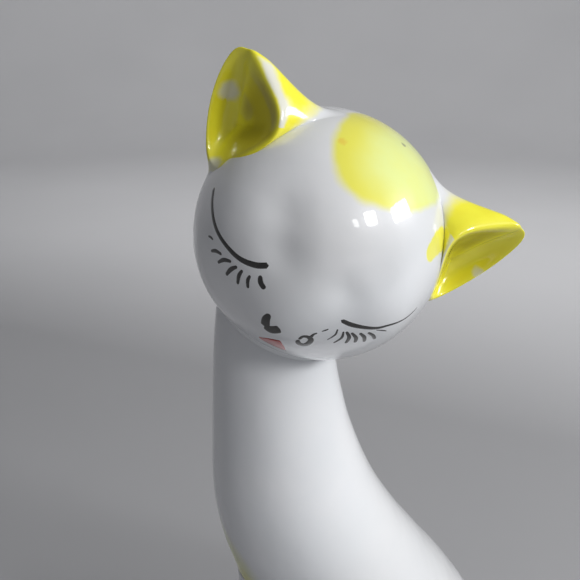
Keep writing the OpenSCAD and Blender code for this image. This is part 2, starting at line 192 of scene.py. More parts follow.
# ---------------------------------------------------------------- the cast shape
class Form:
    """The figurine's shape, worked out from its settings, in millimetres."""

    def __init__(self, s):
        self.body_r = np.array([s.body_width, s.body_depth]) / MM / 2
        self.neck_z, self.neck_r = s.neck_height / MM, s.neck_diameter / MM / 2
        self.head_r, self.wall = s.head_diameter / MM / 2, s.wall / MM
        self.floor, self.pour_r = s.floor_thickness / MM, s.pour_diameter / MM / 2
        self.haunch, self.foot = s.haunch_relief / MM, s.foot_round / MM
        self.axes = np.array(Matrix.Rotation(s.head_turn, 3, "Z") @ Matrix.Rotation(s.head_nod, 3, "X")
                             @ Matrix.Rotation(s.head_tilt, 3, "Y"))
        shift = self.head_r - self.neck_r - SEAT_COVER
        top = np.array([SPINE[-1][1], SPINE[-1][2], self.neck_z])
        lean = math.radians(LEAN_WAY)
        rise = math.sqrt(self.head_r**2 - shift**2)
        self.head_c = top + [shift * math.cos(lean), shift * math.sin(lean), rise]
        self.crown = unit(self.head_c - top)
        self.form_dirs = [self.face_dir(f[0], f[1]) for f in FORMS]

    # ---- body
    def radii(self, z):
        """Half width and half depth at height z: the neck's radius grows to the body's with the fullness."""
        full = through(SPINE, z / self.neck_z)[..., 2:3]
        return lerp(self.neck_r, self.body_r, full)

    def body_pt(self, a, z, out=0.0):
        """Oval round the spine at height z, angle a in degrees from +X to +Y, standing out by out.
        The foot's edge draws in along a quarter circle, and a soft dome swells each haunch."""
        a, z = np.broadcast_arrays(np.asarray(a, float), np.asarray(z, float))
        s = through(SPINE, z / self.neck_z)
        low = np.clip(self.foot - z, 0, self.foot)
        out = out - (self.foot - np.sqrt(self.foot**2 - low**2))
        for side in HAUNCH_SIDES:
            gap = np.abs((a - side + 540) % 360 - 180)
            far = np.hypot(gap / HAUNCH_SPREAD, z / (HAUNCH_HEIGHT * self.neck_z) - 1)
            out = out + self.haunch * ease(1.5 - 1.5 * far)
        r = lerp(self.neck_r, self.body_r, s[..., 2:3]) + np.asarray(out)[..., None]
        rad = np.radians(a)
        return np.stack([s[..., 0] + r[..., 0] * np.cos(rad), s[..., 1] + r[..., 1] * np.sin(rad), z], -1)

    def arc_r(self, a, z):
        """Length of a radian of angle round the body at angle a and height z."""
        r = self.radii(np.asarray(z, float))
        rad = np.radians(a)
        return np.hypot(r[..., 0] * np.sin(rad), r[..., 1] * np.cos(rad))

    # ---- head
    def head_vec(self, v):
        """Turns [to the cat's left, forward, up] of the head into the figurine's axes."""
        return (np.asarray(v, float) * [1, -1, 1]) @ self.axes.T

    def face_dir(self, side, lift):
        """Direction on the head from a side angle and a lift, in degrees."""
        s, e = np.radians(side), np.radians(lift)
        return self.head_vec(np.stack([np.sin(s) * np.cos(e), np.cos(s) * np.cos(e), np.sin(e)], -1))

    def head_radius(self, d):
        """Ball of the head's radius with a bell-shaped rise or hollow for each soft form."""
        r = np.full(d.shape[:-1], self.head_r)
        for (_, _, spread, height), way in zip(FORMS, self.form_dirs):
            r = r + height * bell(np.degrees(np.arccos(np.clip(d @ way, -1, 1))), spread)
        return r

    def head_pt(self, d, out=0.0):
        """Point in direction d from the head's middle, standing out by out: middle plus radius times d."""
        return self.head_c + (self.head_radius(d) + out)[..., None] * d

    def on_head(self, p, out=0.0):
        """The point p moved straight in or out to stand out by out from the head."""
        return self.head_pt(unit(p - self.head_c), out)

    def spot_m(self, side, lift):
        """Place on the head at a side angle and a lift, in metres."""
        return tuple(self.head_pt(self.face_dir(side, lift)[None])[0] * MM)

    def crown_m(self, shares):
        """Place given in shares of the head's radius, in metres."""
        return tuple((self.head_c + self.head_vec(shares) * self.head_r) * MM)

    def seat_z(self, p, out):
        """Height at which the vertical line through p meets the head's underside, out outside it,
        found by trying the head's radius four times at the last height."""
        z = np.full(p.shape[:-1], self.neck_z)
        flat = np.hypot(p[..., 0] - self.head_c[0], p[..., 1] - self.head_c[1])
        for _ in range(4):
            q = np.stack([p[..., 0], p[..., 1], z], -1)
            r = self.head_radius(unit(q - self.head_c)) + out
            z = self.head_c[2] - np.sqrt(r * r - flat * flat)
        return z

    def wall_pt(self, a, z, out):
        """Body point whose neck end leans smoothly to meet the head, one slip thickness short of it."""
        top = self.body_pt(a, self.neck_z, out)
        rise = (self.seat_z(top, SLIP) - self.neck_z) * ease((z - self.neck_z + NECK_BLEND) / NECK_BLEND)
        p = self.body_pt(a, z, out)
        p[..., 2] += rise
        return p

    def seam_pt(self, a, out, above):
        """Point where the neck's wall, standing out by out, meets a shell above outside the head."""
        p = self.body_pt(a, self.neck_z, out)
        p[..., 2] = self.seat_z(p, above)
        return p


# ---------------------------------------------------------------- meshes
def grid_mesh(name, rings, first=None, last=None, wrap=False, bare=None):
    """Mesh over rings of points, an array [ring, place round it, xyz] in mm, each ring closed on itself.
    wrap joins the last ring to the first; first and last close an end with a fan to that point.
    The UV map holds the place round a ring and the place along the rings. bare marks rings of bare clay."""
    m, n = rings.shape[:2]
    i, j = np.meshgrid(np.arange(m if wrap else m - 1), np.arange(n), indexing="ij")
    a, b = i * n + j, i * n + (j + 1) % n
    c, d = (i + 1) % m * n + j, (i + 1) % m * n + (j + 1) % n
    quads = np.stack([a, b, d, c], -1).reshape(-1, 4)
    u0, u1 = j / n, (j + 1) / n
    v0, v1 = i / (m - 1), (i + 1) / (m - 1)
    uv = [np.stack([np.stack([u0, u1, u1, u0], -1), np.stack([v0, v0, v1, v1], -1)], -1).reshape(-1, 2)]
    points, faces = [rings.reshape(-1, 3)], quads.tolist()
    ring_no = i.reshape(-1)
    around = np.arange(n)
    for tip, row, v in ((first, 0, 0.0), (last, m - 1, 1.0)):
        if tip is None:
            continue
        at = m * n + len(points) - 1
        points.append(np.asarray(tip, float)[None])
        one, two = row * n + around, row * n + (around + 1) % n
        fan = np.stack([two, one, np.full(n, at)] if row == 0 else [one, two, np.full(n, at)], -1)
        faces += fan.tolist()
        ring_no = np.concatenate([ring_no, np.full(n, row)])
        turn = np.stack([(around + 1) / n, around / n] if row == 0 else [around / n, (around + 1) / n], -1)
        u = np.concatenate([turn, (around[:, None] + 0.5) / n], 1)
        uv.append(np.stack([u, np.full_like(u, v)], -1).reshape(-1, 2))
    mesh = bpy.data.meshes.new(name)
    mesh.from_pydata((np.concatenate(points) * MM).tolist(), [], faces)
    mesh.uv_layers.new(name="UVMap").uv.foreach_set("vector", np.concatenate(uv).astype(np.float32).ravel())
    mesh.polygons.foreach_set("use_smooth", np.ones(len(mesh.polygons), bool))
    if bare is not None:
        mesh.polygons.foreach_set("material_index", bare[ring_no].astype(np.int32))
    mesh.update()
    return mesh


def join_meshes(name, meshes):
    """One mesh that holds several closed ones."""
    count = np.cumsum([0] + [len(m.vertices) for m in meshes])
    points, faces, uv = [], [], []
    for m, start in zip(meshes, count):
        co = np.empty(len(m.vertices) * 3, np.float32)
        m.vertices.foreach_get("co", co)
        points.append(co.reshape(-1, 3))
        faces += [[start + v for v in p.vertices] for p in m.polygons]
        w = np.empty(len(m.loops) * 2, np.float32)
        m.uv_layers[0].uv.foreach_get("vector", w)
        uv.append(w)
    mesh = bpy.data.meshes.new(name)
    mesh.from_pydata(np.concatenate(points).tolist(), [], faces)
    mesh.uv_layers.new(name="UVMap").uv.foreach_set("vector", np.concatenate(uv))
    mesh.polygons.foreach_set("use_smooth", np.ones(len(mesh.polygons), bool))
    mesh.update()
    for m in meshes:
        bpy.data.meshes.remove(m)
    return mesh


def place(mesh, slot, *materials, nodes=()):
    """Links a finished piece, gives it its materials and lets it ride on the figurine."""
    piece = bpy.data.objects.new(mesh.name, mesh)
    bpy.context.scene.collection.objects.link(piece)
    for material in materials:
        mesh.materials.append(material)
    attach(piece, "root")
    if nodes:
        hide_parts(*nodes)
    return piece


def round_angles(n):
    """n equal steps round a circle, in degrees."""
    return np.arange(n) * 360.0 / n


def body_rings(form, n=192):
    """Outer wall from the foot up to the neck's edge, inner wall back down, then the pouring hole's rim."""
    a = round_angles(n)
    foot = form.foot * (1 - np.cos(np.radians(np.linspace(0, 90, 13))))
    outer = np.concatenate([foot, np.linspace(form.foot, form.neck_z, 170)[1:]])
    inner = np.linspace(form.neck_z, form.floor, 60)
    hole = np.stack([form.pour_r * np.cos(np.radians(a)), form.pour_r * np.sin(np.radians(a))], -1)
    rim = [np.concatenate([hole, np.full((n, 1), z)], 1)[None] for z in (form.floor, 0.4, 0.0)]
    rings = np.concatenate([form.wall_pt(a[None], outer[:, None], 0.0),
                            form.wall_pt(a[None], inner[:, None], -form.wall), *rim])
    bare = np.zeros(len(rings), bool)
    bare[:2], bare[len(outer):] = True, True
    return rings, bare


def head_rings(form, n=192, outer=150, inner=40):
    """Meridians from the edge of the neck opening to the crown, turned along the shortest arc:
    the cavity from crown to edge, then the outside from edge to crown."""
    edge = unit(form.seam_pt(round_angles(n), -form.wall, 0.0) - form.head_c)
    whole = np.arccos(np.clip(edge @ form.crown, -1, 1))[:, None]

    def meridian(t):
        return (np.sin((1 - t) * whole) * edge + np.sin(t * whole) * form.crown) / np.sin(whole)
    shell = [form.head_pt(meridian(t), -form.wall) for t in np.linspace(1, 0, inner + 1)[1:]]
    return np.stack(shell + [form.head_pt(meridian(t)) for t in np.linspace(0, 1, outer + 1)[:-1]])


def slip_rings(form, n=192):
    """Bead of slip round the neck: a B-spline through points on the neck, out past it and on to the head."""
    a = round_angles(n)
    net = np.stack([
        form.seam_pt(a, -form.wall, 0.0), form.seam_pt(a, -form.wall, SLIP),
        form.seam_pt(a, -0.3, SLIP) - [0, 0, 1.4], form.seam_pt(a, 0.05, SLIP) - [0, 0, 0.7],
        form.seam_pt(a, 0.35, SLIP), form.seam_pt(a, 0.9, 0.05), form.seam_pt(a, 0.9, -0.3)])
    x = np.linspace(0, len(net), 29)[:-1]
    return closed_spline(net.reshape(len(net), -1), x).reshape(len(x), n, 3)


def ear_rings(form, side, set_by, stretch, n=EAR_AROUND, m=EAR_ALONG):
    """Cup of the ear: eight stations round it make closed B-splines, and an open B-spline runs through
    foot, outside, rim, inner rim, wall and floor. Near its foot the surface eases on to the head."""
    ear = np.array(EAR, float)
    s, e = np.radians(ear[:, 0]), np.radians(ear[:, 1])
    foot = form.head_r * np.stack([np.sin(s) * np.cos(e), np.cos(s) * np.cos(e), np.sin(e)], -1)
    drawn = ear[:, 2:5] * form.head_r / EAR_DRAWN_FOR
    rim = lerp(form.head_r * unit(drawn), drawn, stretch)
    floor = np.array(EAR_FLOOR) * form.head_r / EAR_DRAWN_FOR
    inner = lerp(rim, rim.mean(0), ear[:, 5:]) - [0, 0.6, 0]
    rows = np.stack([foot, lerp(foot, rim, 0.38), lerp(foot, rim, 0.8), rim, inner,
                     lerp(inner, floor, 0.45) - [0, 1.5, 0], lerp(inner, floor, 0.8),
                     np.broadcast_to(floor, inner.shape)])
    t = np.arange(n) / n if side < 0 else (-np.arange(n) / n) % 1
    net = np.stack([closed_spline(row, t * len(EAR)) for row in rows])
    v = np.linspace(0, 1, m)
    q = open_spline(net.reshape(len(rows), -1), v * (len(rows) - 1)).reshape(m, n, 3)
    lift, swing = np.radians(set_by)
    q = np.stack([q[..., 0] * np.cos(lift) - q[..., 2] * np.sin(lift), q[..., 1],
                  q[..., 0] * np.sin(lift) + q[..., 2] * np.cos(lift)], -1)
    q = np.stack([side * (q[..., 0] * np.cos(swing) - q[..., 1] * np.sin(swing)),
                  q[..., 0] * np.sin(swing) + q[..., 1] * np.cos(swing), q[..., 2]], -1)
    p = form.head_c + form.head_vec(q)
    free = ease(v / 0.33)[:, None, None]
    skin = 0.12 * ease(v / 0.05) - 0.12
    p = lerp(form.on_head(p, skin[:, None]), p, free)
    sunk = form.on_head(p[0], -0.6)
    return np.concatenate([sunk[None], p[:-1]]), form.on_head(sunk.mean(0), -1.5), p[-1].mean(0)


# Half section of a form luted on the body, from its edge to its ridge: [share of half width, share of height]
FILLET = [[1.34, -0.05], [1.17, 0.0], [1.03, 0.1], [0.93, 0.52], [0.64, 0.94], [0.0, 1.1]]


def relief_rings(form, rows, m, n=24, mirror=False):
    """Form carried along rows of [angle, height, half width, how far out] over the body: a B-spline runs
    through the rows, and across it a rounded section leaves the body in a soft fillet."""
    rows = np.array(rows, float)
    x = np.linspace(0, len(rows) - 1, m)
    r = open_spline(rows, x)
    way = open_spline(rows, np.minimum(x + 0.05, x[-1])) - open_spline(rows, np.maximum(x - 0.05, 0))
    arc = form.arc_r(r[:, 0], r[:, 1])
    across = unit(np.stack([-way[:, 1], way[:, 0] * arc * math.pi / 180], -1))
    half = np.array(FILLET)
    net = np.concatenate([half, half[-2::-1] * [-1, 1]])
    section = open_spline(net, np.linspace(0, len(net) - 1, 2 * n + 1))
    under = np.stack([np.linspace(-1.2, 1.2, n + 1)[1:-1], np.full(n - 1, -0.12)], -1)
    section = np.concatenate([section, under])
    off = r[:, 2:3] * section[:, 0]
    rings = form.body_pt(r[:, :1] + off * (across[:, :1] / arc[:, None] * 180 / math.pi),
                         np.maximum(r[:, 1:2] + off * across[:, 1:], 0.25),
                         r[:, 3:] * section[:, 1] - 0.06)
    if mirror:
        rings = rings[:, ::-1] * [-1, 1, 1]
    return rings


GROUND = 0.5        # gap between a luted form and the ground


def leg_rows(form, s):
    """Foreleg from the chest to the toes, just off the middle line: the paw's rows follow the leg's."""
    w, out, paw = s.foreleg_width / MM, s.foreleg_out / MM, s.paw_out / MM
    top = 0.56 * form.neck_z

    def beside_middle(z):
        return -90 + math.degrees((w / 2 + 0.4) / float(form.arc_r(-90, z)))
    leg = [[top, 0.4, 0.02], [0.93 * top, 0.8, 0.14], [0.82 * top, 0.97, 0.6], [0.68 * top, 1, 0.95],
           [0.5 * top, 0.98, 1], [0.34 * top, 0.96, 1], [14, 0.97, 1]]
    toes = [[9, 0.98, 0.2], [6, 1, 0.85], [3, 1, 1.02], [GROUND, 0.95, 0.9]]
    return ([[beside_middle(z), z, k * w / 2, o * out] for z, k, o in leg]
            + [[beside_middle(z), z, k * w / 2, out + o * paw] for z, k, o in toes])


def hind_rows(s):
    """Hind paw that swells out of the haunch and ends in round toes."""
    w, out = s.hind_paw_width / MM, s.hind_paw_out / MM
    rows = [[13, 0.35, 0.02], [11.5, 0.75, 0.35], [8.5, 0.95, 0.8], [5, 1, 1], [2, 0.98, 1],
            [GROUND, 0.92, 0.9]]
    return [[-38, z, k * w / 2, o * out] for z, k, o in rows]


def tail_rows(s):
    """The tail leaves the rump, lies round the left haunch and turns up at its tip."""
    w, out = s.tail_width / MM, s.tail_out / MM
    rows = [[96, 24, 0.45, 0.02], [95, 19, 0.75, 0.45], [92, 12, 0.95, 0.85], [84, 5.5, 1, 1],
            [70, 1.6, 1, 1], [52, 0.2, 0.97, 1], [32, 0, 0.93, 0.95], [14, 0, 0.87, 0.92],
            [0, 0.5, 0.8, 0.85], [-9, 2.4, 0.7, 0.78], [-14, 5.6, 0.6, 0.65], [-15.5, 8.6, 0.45, 0.4],
            [-16, 10.4, 0.2, 0.04]]
    return [[a, GROUND + w / 2 + z, k * w / 2, o * out] for a, z, k, o in rows]


def stroke_mesh(form, name, path, widths, height, scale=1.0, n=10, m=40):
    """Brush stroke on the head: a smooth path through [side angle, lift] places, with a flat oval section
    whose width follows the widths and rounds off over the last 0.4 mm at both ends."""
    place_no = np.arange(len(path))[:, None]
    x = np.linspace(0, len(path) - 1, m)
    spot = through(np.concatenate([place_no, np.array(path, float)], 1), x)
    d = form.face_dir(spot[:, 0], spot[:, 1])
    p = form.head_pt(d)
    along = unit(np.gradient(p, axis=0))
    across = unit(np.cross(d, along))
    run = np.concatenate([[0], np.cumsum(np.linalg.norm(np.diff(p, axis=0), axis=1))])
    w = scale * through(np.concatenate([place_no, np.array(widths, float)[:, None]], 1), x)[:, 0]
    end = np.minimum(run, run[-1] - run) / np.minimum(w / 2, 0.4)
    w = w * np.sqrt(np.clip(1 - (1 - np.clip(end, 0.02, 1)) ** 2, 0, 1))
    turn = np.radians(round_angles(n))
    side = np.cos(turn)[None, :, None] * across[:, None] * (w / 2)[:, None, None]
    rings = form.on_head(p[:, None] + side)
    lift = (np.sin(turn) * height)[None, :] * np.clip(w / 0.4, 0.15, 1)[:, None]
    rings = form.on_head(rings, lift)
    return grid_mesh(name, rings, rings[0].mean(0), rings[-1].mean(0))


# ---------------------------------------------------------------- materials
class Glaze:
    """One material's node tree, built up socket by socket round a Principled shader."""

    def __init__(self, name, **shader):
        self.material = bpy.data.materials.new(name)
        self.material.use_nodes = True
        self.tree = self.material.node_tree
        self.shader = self.tree.nodes["Principled BSDF"]
        for socket, value in shader.items():
            self.shader.inputs[socket.replace("_", " ").title().replace("Ior", "IOR")].default_value = value
        coords = self.tree.nodes.new("ShaderNodeTexCoord")
        self.point, self.uv = coords.outputs["Object"], coords.outputs["UV"]

    def add(self, kind, inputs, out=0, **props):
        """Adds a node, its inputs set by number or name to values or sockets. Returns an output."""
        node = self.tree.nodes.new("ShaderNode" + kind)
        for key, value in props.items():
            setattr(node, key, value)
        for key, value in inputs.items():
            if isinstance(value, bpy.types.NodeSocket):
                self.tree.links.new(value, node.inputs[key])
            elif value is not None:
                node.inputs[key].default_value = value
        return node.outputs[out]

    def noise(self, scale, detail=3.0, rough=0.5, at=None, out="Fac"):
        return self.add("TexNoise", {"Vector": at or self.point, "Scale": scale, "Detail": detail,
                                     "Roughness": rough}, out)

    def step(self, value, low, high, to_low=0.0, to_high=1.0):
        """Smooth step from one value to another as the input goes from low to high."""
        return self.add("MapRange", {"Value": value, "From Min": low, "From Max": high, "To Min": to_low,
                                     "To Max": to_high}, interpolation_type="SMOOTHSTEP")

    def maths(self, operation, a, b=None):
        return self.add("Math", {0: a, 1: b}, operation=operation)

    def mix(self, share, a, b):
        return self.add("Mix", {0: share, 6: a, 7: b}, 2, data_type="RGBA")

    def warped(self, amount, scale, detail=2.0):
        """Object coordinates pushed about by soft noise, amount in metres."""
        push = self.add("VectorMath", {0: self.noise(scale, detail, out="Color"), 1: (0.5, 0.5, 0.5)},
                        operation="SUBTRACT")
        push = self.add("VectorMath", {0: push, "Scale": 2 * amount}, operation="SCALE")
        return self.add("VectorMath", {0: self.point, 1: push}, operation="ADD")

    def blob(self, at, centre, radii, turn=(0, 0, 0), soft=0.15):
        """1 inside an oval of those radii round centre, in metres, and 0 outside, with a soft edge."""
        local = self.add("Mapping", {"Vector": at, "Location": centre, "Rotation": turn, "Scale": radii},
                         vector_type="TEXTURE")
        far = self.add("VectorMath", {0: local}, "Value", operation="LENGTH")
        return self.step(far, 1 + soft, 1 - soft)

    def wire(self, socket, value):
        self.tree.links.new(value, self.shader.inputs[socket])

    def surface(self, colour, pits=True):
        """Glaze of that colour: long shallow waves, fine orange peel and a few pinholes burnt dark."""
        rough = self.noise(90, 2, 0.55)
        fine = self.noise(900, 2, 0.6)
        height = self.add("Bump", {"Height": rough, "Strength": 0.5, "Distance": 0.00035})
        height = self.add("Bump", {"Height": fine, "Strength": 0.10, "Distance": 0.00006, "Normal": height})
        if pits:
            cells = self.tree.nodes.new("ShaderNodeTexVoronoi")
            cells.inputs["Scale"].default_value = 230
            self.tree.links.new(self.point, cells.inputs["Vector"])
            size = self.add("SeparateColor", {0: cells.outputs["Color"]}, 0)
            radius = self.step(size, 0.8, 1.0, 0.0, 0.05)
            pit = self.add("MapRange", {"Value": self.maths("SUBTRACT", cells.outputs["Distance"], radius),
                                        "From Min": 0.02, "From Max": -0.01})
            pit = self.maths("MULTIPLY", pit, self.maths("GREATER_THAN", size, 0.8))
            height = self.add("Bump", {"Height": pit, "Strength": 0.6, "Distance": -0.0001, "Normal": height})
            colour = self.mix(self.maths("MULTIPLY", pit, 0.55), colour, (0.10, 0.09, 0.07, 1))
        self.wire("Normal", height)
        self.wire("Coat Normal", height)
        self.wire("Base Color", colour)
        return self.material

    def white(self, c):
        """White body seen through glaze: cool where it is thin, a little warm where it has pooled."""
        mottle = self.step(self.noise(38, 4, 0.6), 0.35, 0.68)
        cloud = self.step(self.noise(11, 2, 0.5), 0.35, 0.7)
        base = self.mix(self.maths("MULTIPLY", mottle, 0.55), tuple(c.white), tuple(c.white_cool))
        return self.mix(self.maths("MULTIPLY", cloud, 0.5), base, tuple(c.white_warm))


def gloss(c):
    """Clear glaze over the clay: the same for every painted and plain piece."""
    return {"roughness": 0.32, "coat_weight": 1.0, "coat_roughness": c.glaze_roughness, "coat_ior": 1.52,
            "specular_ior_level": 0.4}


def white_glaze(c):
    """Plain white glaze of the limbs, the tail and the neck's joint."""
    g = Glaze("white_glaze", **gloss(c))
    return g.surface(g.white(c))


def body_glaze(c, form):
    """White glaze with a yellow patch brushed on the cat's right shoulder."""
    g = Glaze("painted_body_glaze", **gloss(c))
    way_round, height, size = SHOULDER_PATCH
    middle = tuple(form.body_pt(way_round, height) * MM)
    patch = g.blob(g.warped(0.002, 90), middle, (size * MM,) * 3, soft=0.22)
    lemon = g.mix(g.step(g.noise(140, 3, 0.6), 0.3, 0.75), tuple(c.patch_deep), tuple(c.patch_pale))
    return g.surface(g.mix(g.maths("MULTIPLY", patch, 0.85), g.white(c), lemon))


def bare_clay(c, name="bare_clay"):
    """Unglazed fired clay: matt, speckled with grog, dusty where it has rubbed on shelves."""
    g = Glaze(name, roughness=0.85, specular_ior_level=0.25)
    speck = g.step(g.noise(1500, 2, 0.7), 0.62, 0.75)
    grime = g.step(g.noise(70, 5, 0.65), 0.45, 0.75)
    colour = g.mix(g.maths("MULTIPLY", grime, 0.6), tuple(c.clay), tuple(c.clay_grime))
    colour = g.mix(g.maths("MULTIPLY", speck, 0.35), colour, (0.28, 0.22, 0.16, 1))
    g.wire("Base Color", colour)
    g.wire("Normal", g.add("Bump", {"Height": g.noise(1200, 4, 0.7), "Strength": 0.5, "Distance": 0.0001}))
    return g.material


def head_glaze(c, form):
    """White glaze with the yellow patch and its specks on the crown, and dabs of the ears' yellow."""
    g = Glaze("painted_head_glaze", **gloss(c))
    long_way, short_way = form.head_vec(CROWN_LONG_WAY), form.head_vec(CROWN_SHORT_WAY)
    turn = Matrix(np.stack([long_way, short_way, np.cross(long_way, short_way)], -1).tolist()).to_euler("XYZ")
    r = form.head_r * MM
    reach, pale_reach = tuple(k * r for k in CROWN_PATCH_REACH), tuple(k * r for k in CROWN_PALE_REACH)
    edge = g.warped(0.0011, 150)
    patch = g.blob(edge, form.crown_m(CROWN_PATCH), reach, tuple(turn), 0.07)
    pale = g.blob(g.warped(0.002, 110), form.crown_m(CROWN_PALE), pale_reach, tuple(turn), 0.35)
    brushed = patch
    for side, lift, size in BRUSHED:
        brushed = g.maths("MAXIMUM", brushed, g.blob(edge, form.spot_m(side, lift), (size * MM,) * 3))
    mottle = g.step(g.noise(140, 3, 0.6), 0.3, 0.75)
    lemon = g.mix(pale, tuple(c.patch_deep), tuple(c.patch_pale))
    lemon = g.mix(g.maths("MULTIPLY", mottle, 0.25), lemon, tuple(c.patch_deep))
    colour = g.mix(g.maths("MULTIPLY", brushed, 0.95), g.white(c), lemon)
    ragged = g.warped(0.0005, 900)
    for side, lift, size, strength, tint in FIRED_SPECKS:
        speck = g.blob(ragged, form.spot_m(side, lift), (size * MM,) * 3, soft=0.5)
        colour = g.mix(g.maths("MULTIPLY", speck, strength), colour, tint)
    return g.surface(colour, pits=False)


def ear_glaze(c, missed):
    """Lemon on the ears: bare along the foot, thin on the front of the rim, darkened towards olive on the
    cup's inner wall as painted shade over pooled colour, and missing at a few spots, each a point, a radius
    in mm and whether it lies inside the cup."""
    g = Glaze("lemon_ear_glaze", **gloss(c))
    u, v = (g.add("SeparateXYZ", {0: g.uv}, k) for k in (0, 1))
    wobble = g.maths("MULTIPLY", g.maths("SUBTRACT", g.noise(150, 3, 0.6), 0.5), 0.16)
    v = g.maths("ADD", v, wobble)
    brushed = g.step(v, 0.12, 0.25)
    front = g.step(g.maths("ABSOLUTE", g.maths("SUBTRACT", u, 0.09)), 0.14, 0.08)
    rim = g.step(g.maths("ABSOLUTE", g.maths("SUBTRACT", v, 0.38)), 0.09, 0.03)
    bare = g.maths("MULTIPLY", g.maths("MULTIPLY", front, rim), 0.85)
    inside = g.step(v, 0.44, 0.52)
    ragged = g.warped(0.0006, 400)
    for point, radius, cupped in missed:
        spot = g.blob(ragged, tuple(point * MM), (radius * MM,) * 3, soft=0.4)
        spot = g.maths("MULTIPLY", spot, inside) if cupped else spot
        bare = g.maths("MAXIMUM", bare, g.maths("MULTIPLY", spot, 0.7))
    mottle = g.step(g.noise(160, 3, 0.6), 0.3, 0.75)
    lemon = g.mix(g.maths("MULTIPLY", mottle, 0.5), tuple(c.lemon), tuple(c.lemon_deep))
    # Painted shade: the cup's inner wall on its medial side, where shade falls, is mixed towards the darkened
    # olive
    inner = g.maths("MULTIPLY", g.step(v, 0.46, 0.6), g.step(v, 0.95, 0.72))
    shaded_medial_wall = g.step(g.maths("ABSOLUTE", g.maths("SUBTRACT", u, 0.5)), 0.27, 0.42)
    lemon = g.mix(g.maths("MULTIPLY", g.maths("MULTIPLY", inner, shaded_medial_wall), 0.85), lemon, tuple(c.painted_cup_shade))
    return g.surface(g.mix(g.maths("SUBTRACT", brushed, bare), g.white(c), lemon), pits=False)


def enamel(c, name, full, thin):
    """Brushed enamel line: colour broken by thin places in the stroke, under the same glossy glaze."""
    g = Glaze(name, **gloss(c))
    streak = g.step(g.noise(900, 3, 0.6), 0.45, 0.8)
    g.wire("Base Color", g.mix(g.maths("MULTIPLY", streak, 0.6), tuple(full), tuple(thin)))
    return g.material


# ---------------------------------------------------------------- settings
def length(name, description, default, low, high):
    """Size setting, given in mm."""
    return bpy.props.FloatProperty(name=name, description=description, default=default * MM, min=low * MM,
                                   max=high * MM, unit="LENGTH", subtype="DISTANCE", precision=4)


def angle(name, description, default, low, high):
    """Angle setting, given in degrees."""
    low, default, high = (math.radians(x) for x in (low, default, high))
    return bpy.props.FloatProperty(name=name, description=description, default=default, min=low, max=high,
                                   unit="ROTATION", subtype="ANGLE")


def factor(name, description, default, low, high):
    return bpy.props.FloatProperty(name=name, description=description, default=default, min=low, max=high,
                                   subtype="FACTOR")


def colour(name, description, default):
    return bpy.props.FloatVectorProperty(name=name, description=description, default=(*default, 1.0), size=4,
                                         min=0.0, max=1.0, subtype="COLOR")


class CatShape(bpy.types.PropertyGroup):
    """Sizes of the cast parts"""
    body_width: length("Body width", "Width of the body across the haunches", 60, 50, 72)
    body_depth: length("Body depth", "Depth of the body from foreleg line to rump", 69, 58, 83)
    neck_height: length("Neck height", "Height of the neck's upper end", 129, 108, 155)
    neck_diameter: length("Neck diameter", "Diameter of the neck under the head", 24, 20, 29)
    haunch_relief: length("Haunch relief", "How far the haunches swell", 3, 0, 4)
    foot_round: length("Foot round", "Radius of the foot's outer edge", 3, 1, 4)
    wall: length("Wall", "Thickness of the cast wall", 3, 2, 3.6)
    floor_thickness: length("Floor", "Thickness of the cast floor", 4, 3, 6)
    pour_diameter: length("Pouring hole", "Diameter of the pouring hole", 34, 28, 38)
    head_diameter: length("Head diameter", "Diameter of the head", 49, 41, 58)
    head_turn: angle("Head turn", "How far the head is turned to the cat's left", 38, 0, 60)
    head_nod: angle("Head nod", "How far the face looks down", 6, -5, 15)
    head_tilt: angle("Head tilt", "How far the head leans over to the cat's left", 32, 0, 40)
    ear_stretch: factor("Ear stretch", "Length of the ears, as a factor", 1.0, 0.8, 1.2)
    foreleg_width: length("Foreleg width", "Width of a foreleg", 13, 11, 15.5)
    foreleg_out: length("Foreleg relief", "How far a foreleg stands out of the body", 7, 5, 9)
    paw_out: length("Front paw", "Extra length of a front paw beyond its leg", 4.5, 3, 6)
    hind_paw_width: length("Hind paw width", "Width of a hind paw", 15, 12, 18)
    hind_paw_out: length("Hind paw relief", "How far a hind paw stands out", 7.5, 6, 9)
    tail_width: length("Tail width", "Width of the tail at its root", 13, 10, 15)
    tail_out: length("Tail relief", "How far the tail stands out", 6.5, 4, 8)


class CatColours(bpy.types.PropertyGroup):
    """Colours and gloss of the glaze, the paint and the bare clay"""
    white: colour("White", "Glazed white body", (0.80, 0.81, 0.83))
    white_cool: colour("Thin white", "White where the glaze is thin", (0.74, 0.77, 0.80))
    white_warm: colour("Pooled white", "White where the glaze has pooled", (0.80, 0.79, 0.77))
    lemon: colour("Lemon", "Yellow of the ears", (0.97, 0.92, 0.045))
    lemon_deep: colour("Deep lemon", "Yellow where the brush left more colour", (0.90, 0.79, 0.025))
    # Painted shade: this darkened olive stands in for the shade inside an ear's cup, over some pooled colour
    painted_cup_shade: colour("Olive", "Thick colour in the cup of an ear", (0.40, 0.33, 0.012))
    patch_deep: colour("Crown patch", "Yellow at the rim of the crown patch", (0.89, 0.85, 0.07))
    patch_pale: colour("Thin crown patch", "Thin yellow in the middle of the crown patch", (0.84, 0.93, 0.33))
    ink: colour("Black", "Painted eye lines, lashes and nostrils", (0.012, 0.011, 0.010))
    ink_thin: colour("Thin black", "Black where the brush ran dry", (0.045, 0.042, 0.038))
    red: colour("Red", "Painted mouth", (0.50, 0.03, 0.018))
    red_thin: colour("Thin red", "Red where the brush ran dry", (0.50, 0.06, 0.04))
    clay: colour("Clay", "Bare fired clay", (0.72, 0.67, 0.58))
    clay_grime: colour("Clay grime", "Clay rubbed grey by use", (0.46, 0.42, 0.36))
    glaze_roughness: factor("Glaze roughness", "Roughness of the clear glaze", 0.035, 0, 0.3)
    line_height: length("Line height", "How far a painted line stands up", 0.04, 0.01, 0.1)
    line_scale: factor("Line weight", "Factor on the painted lines' width", 1.0, 0.5, 1.5)


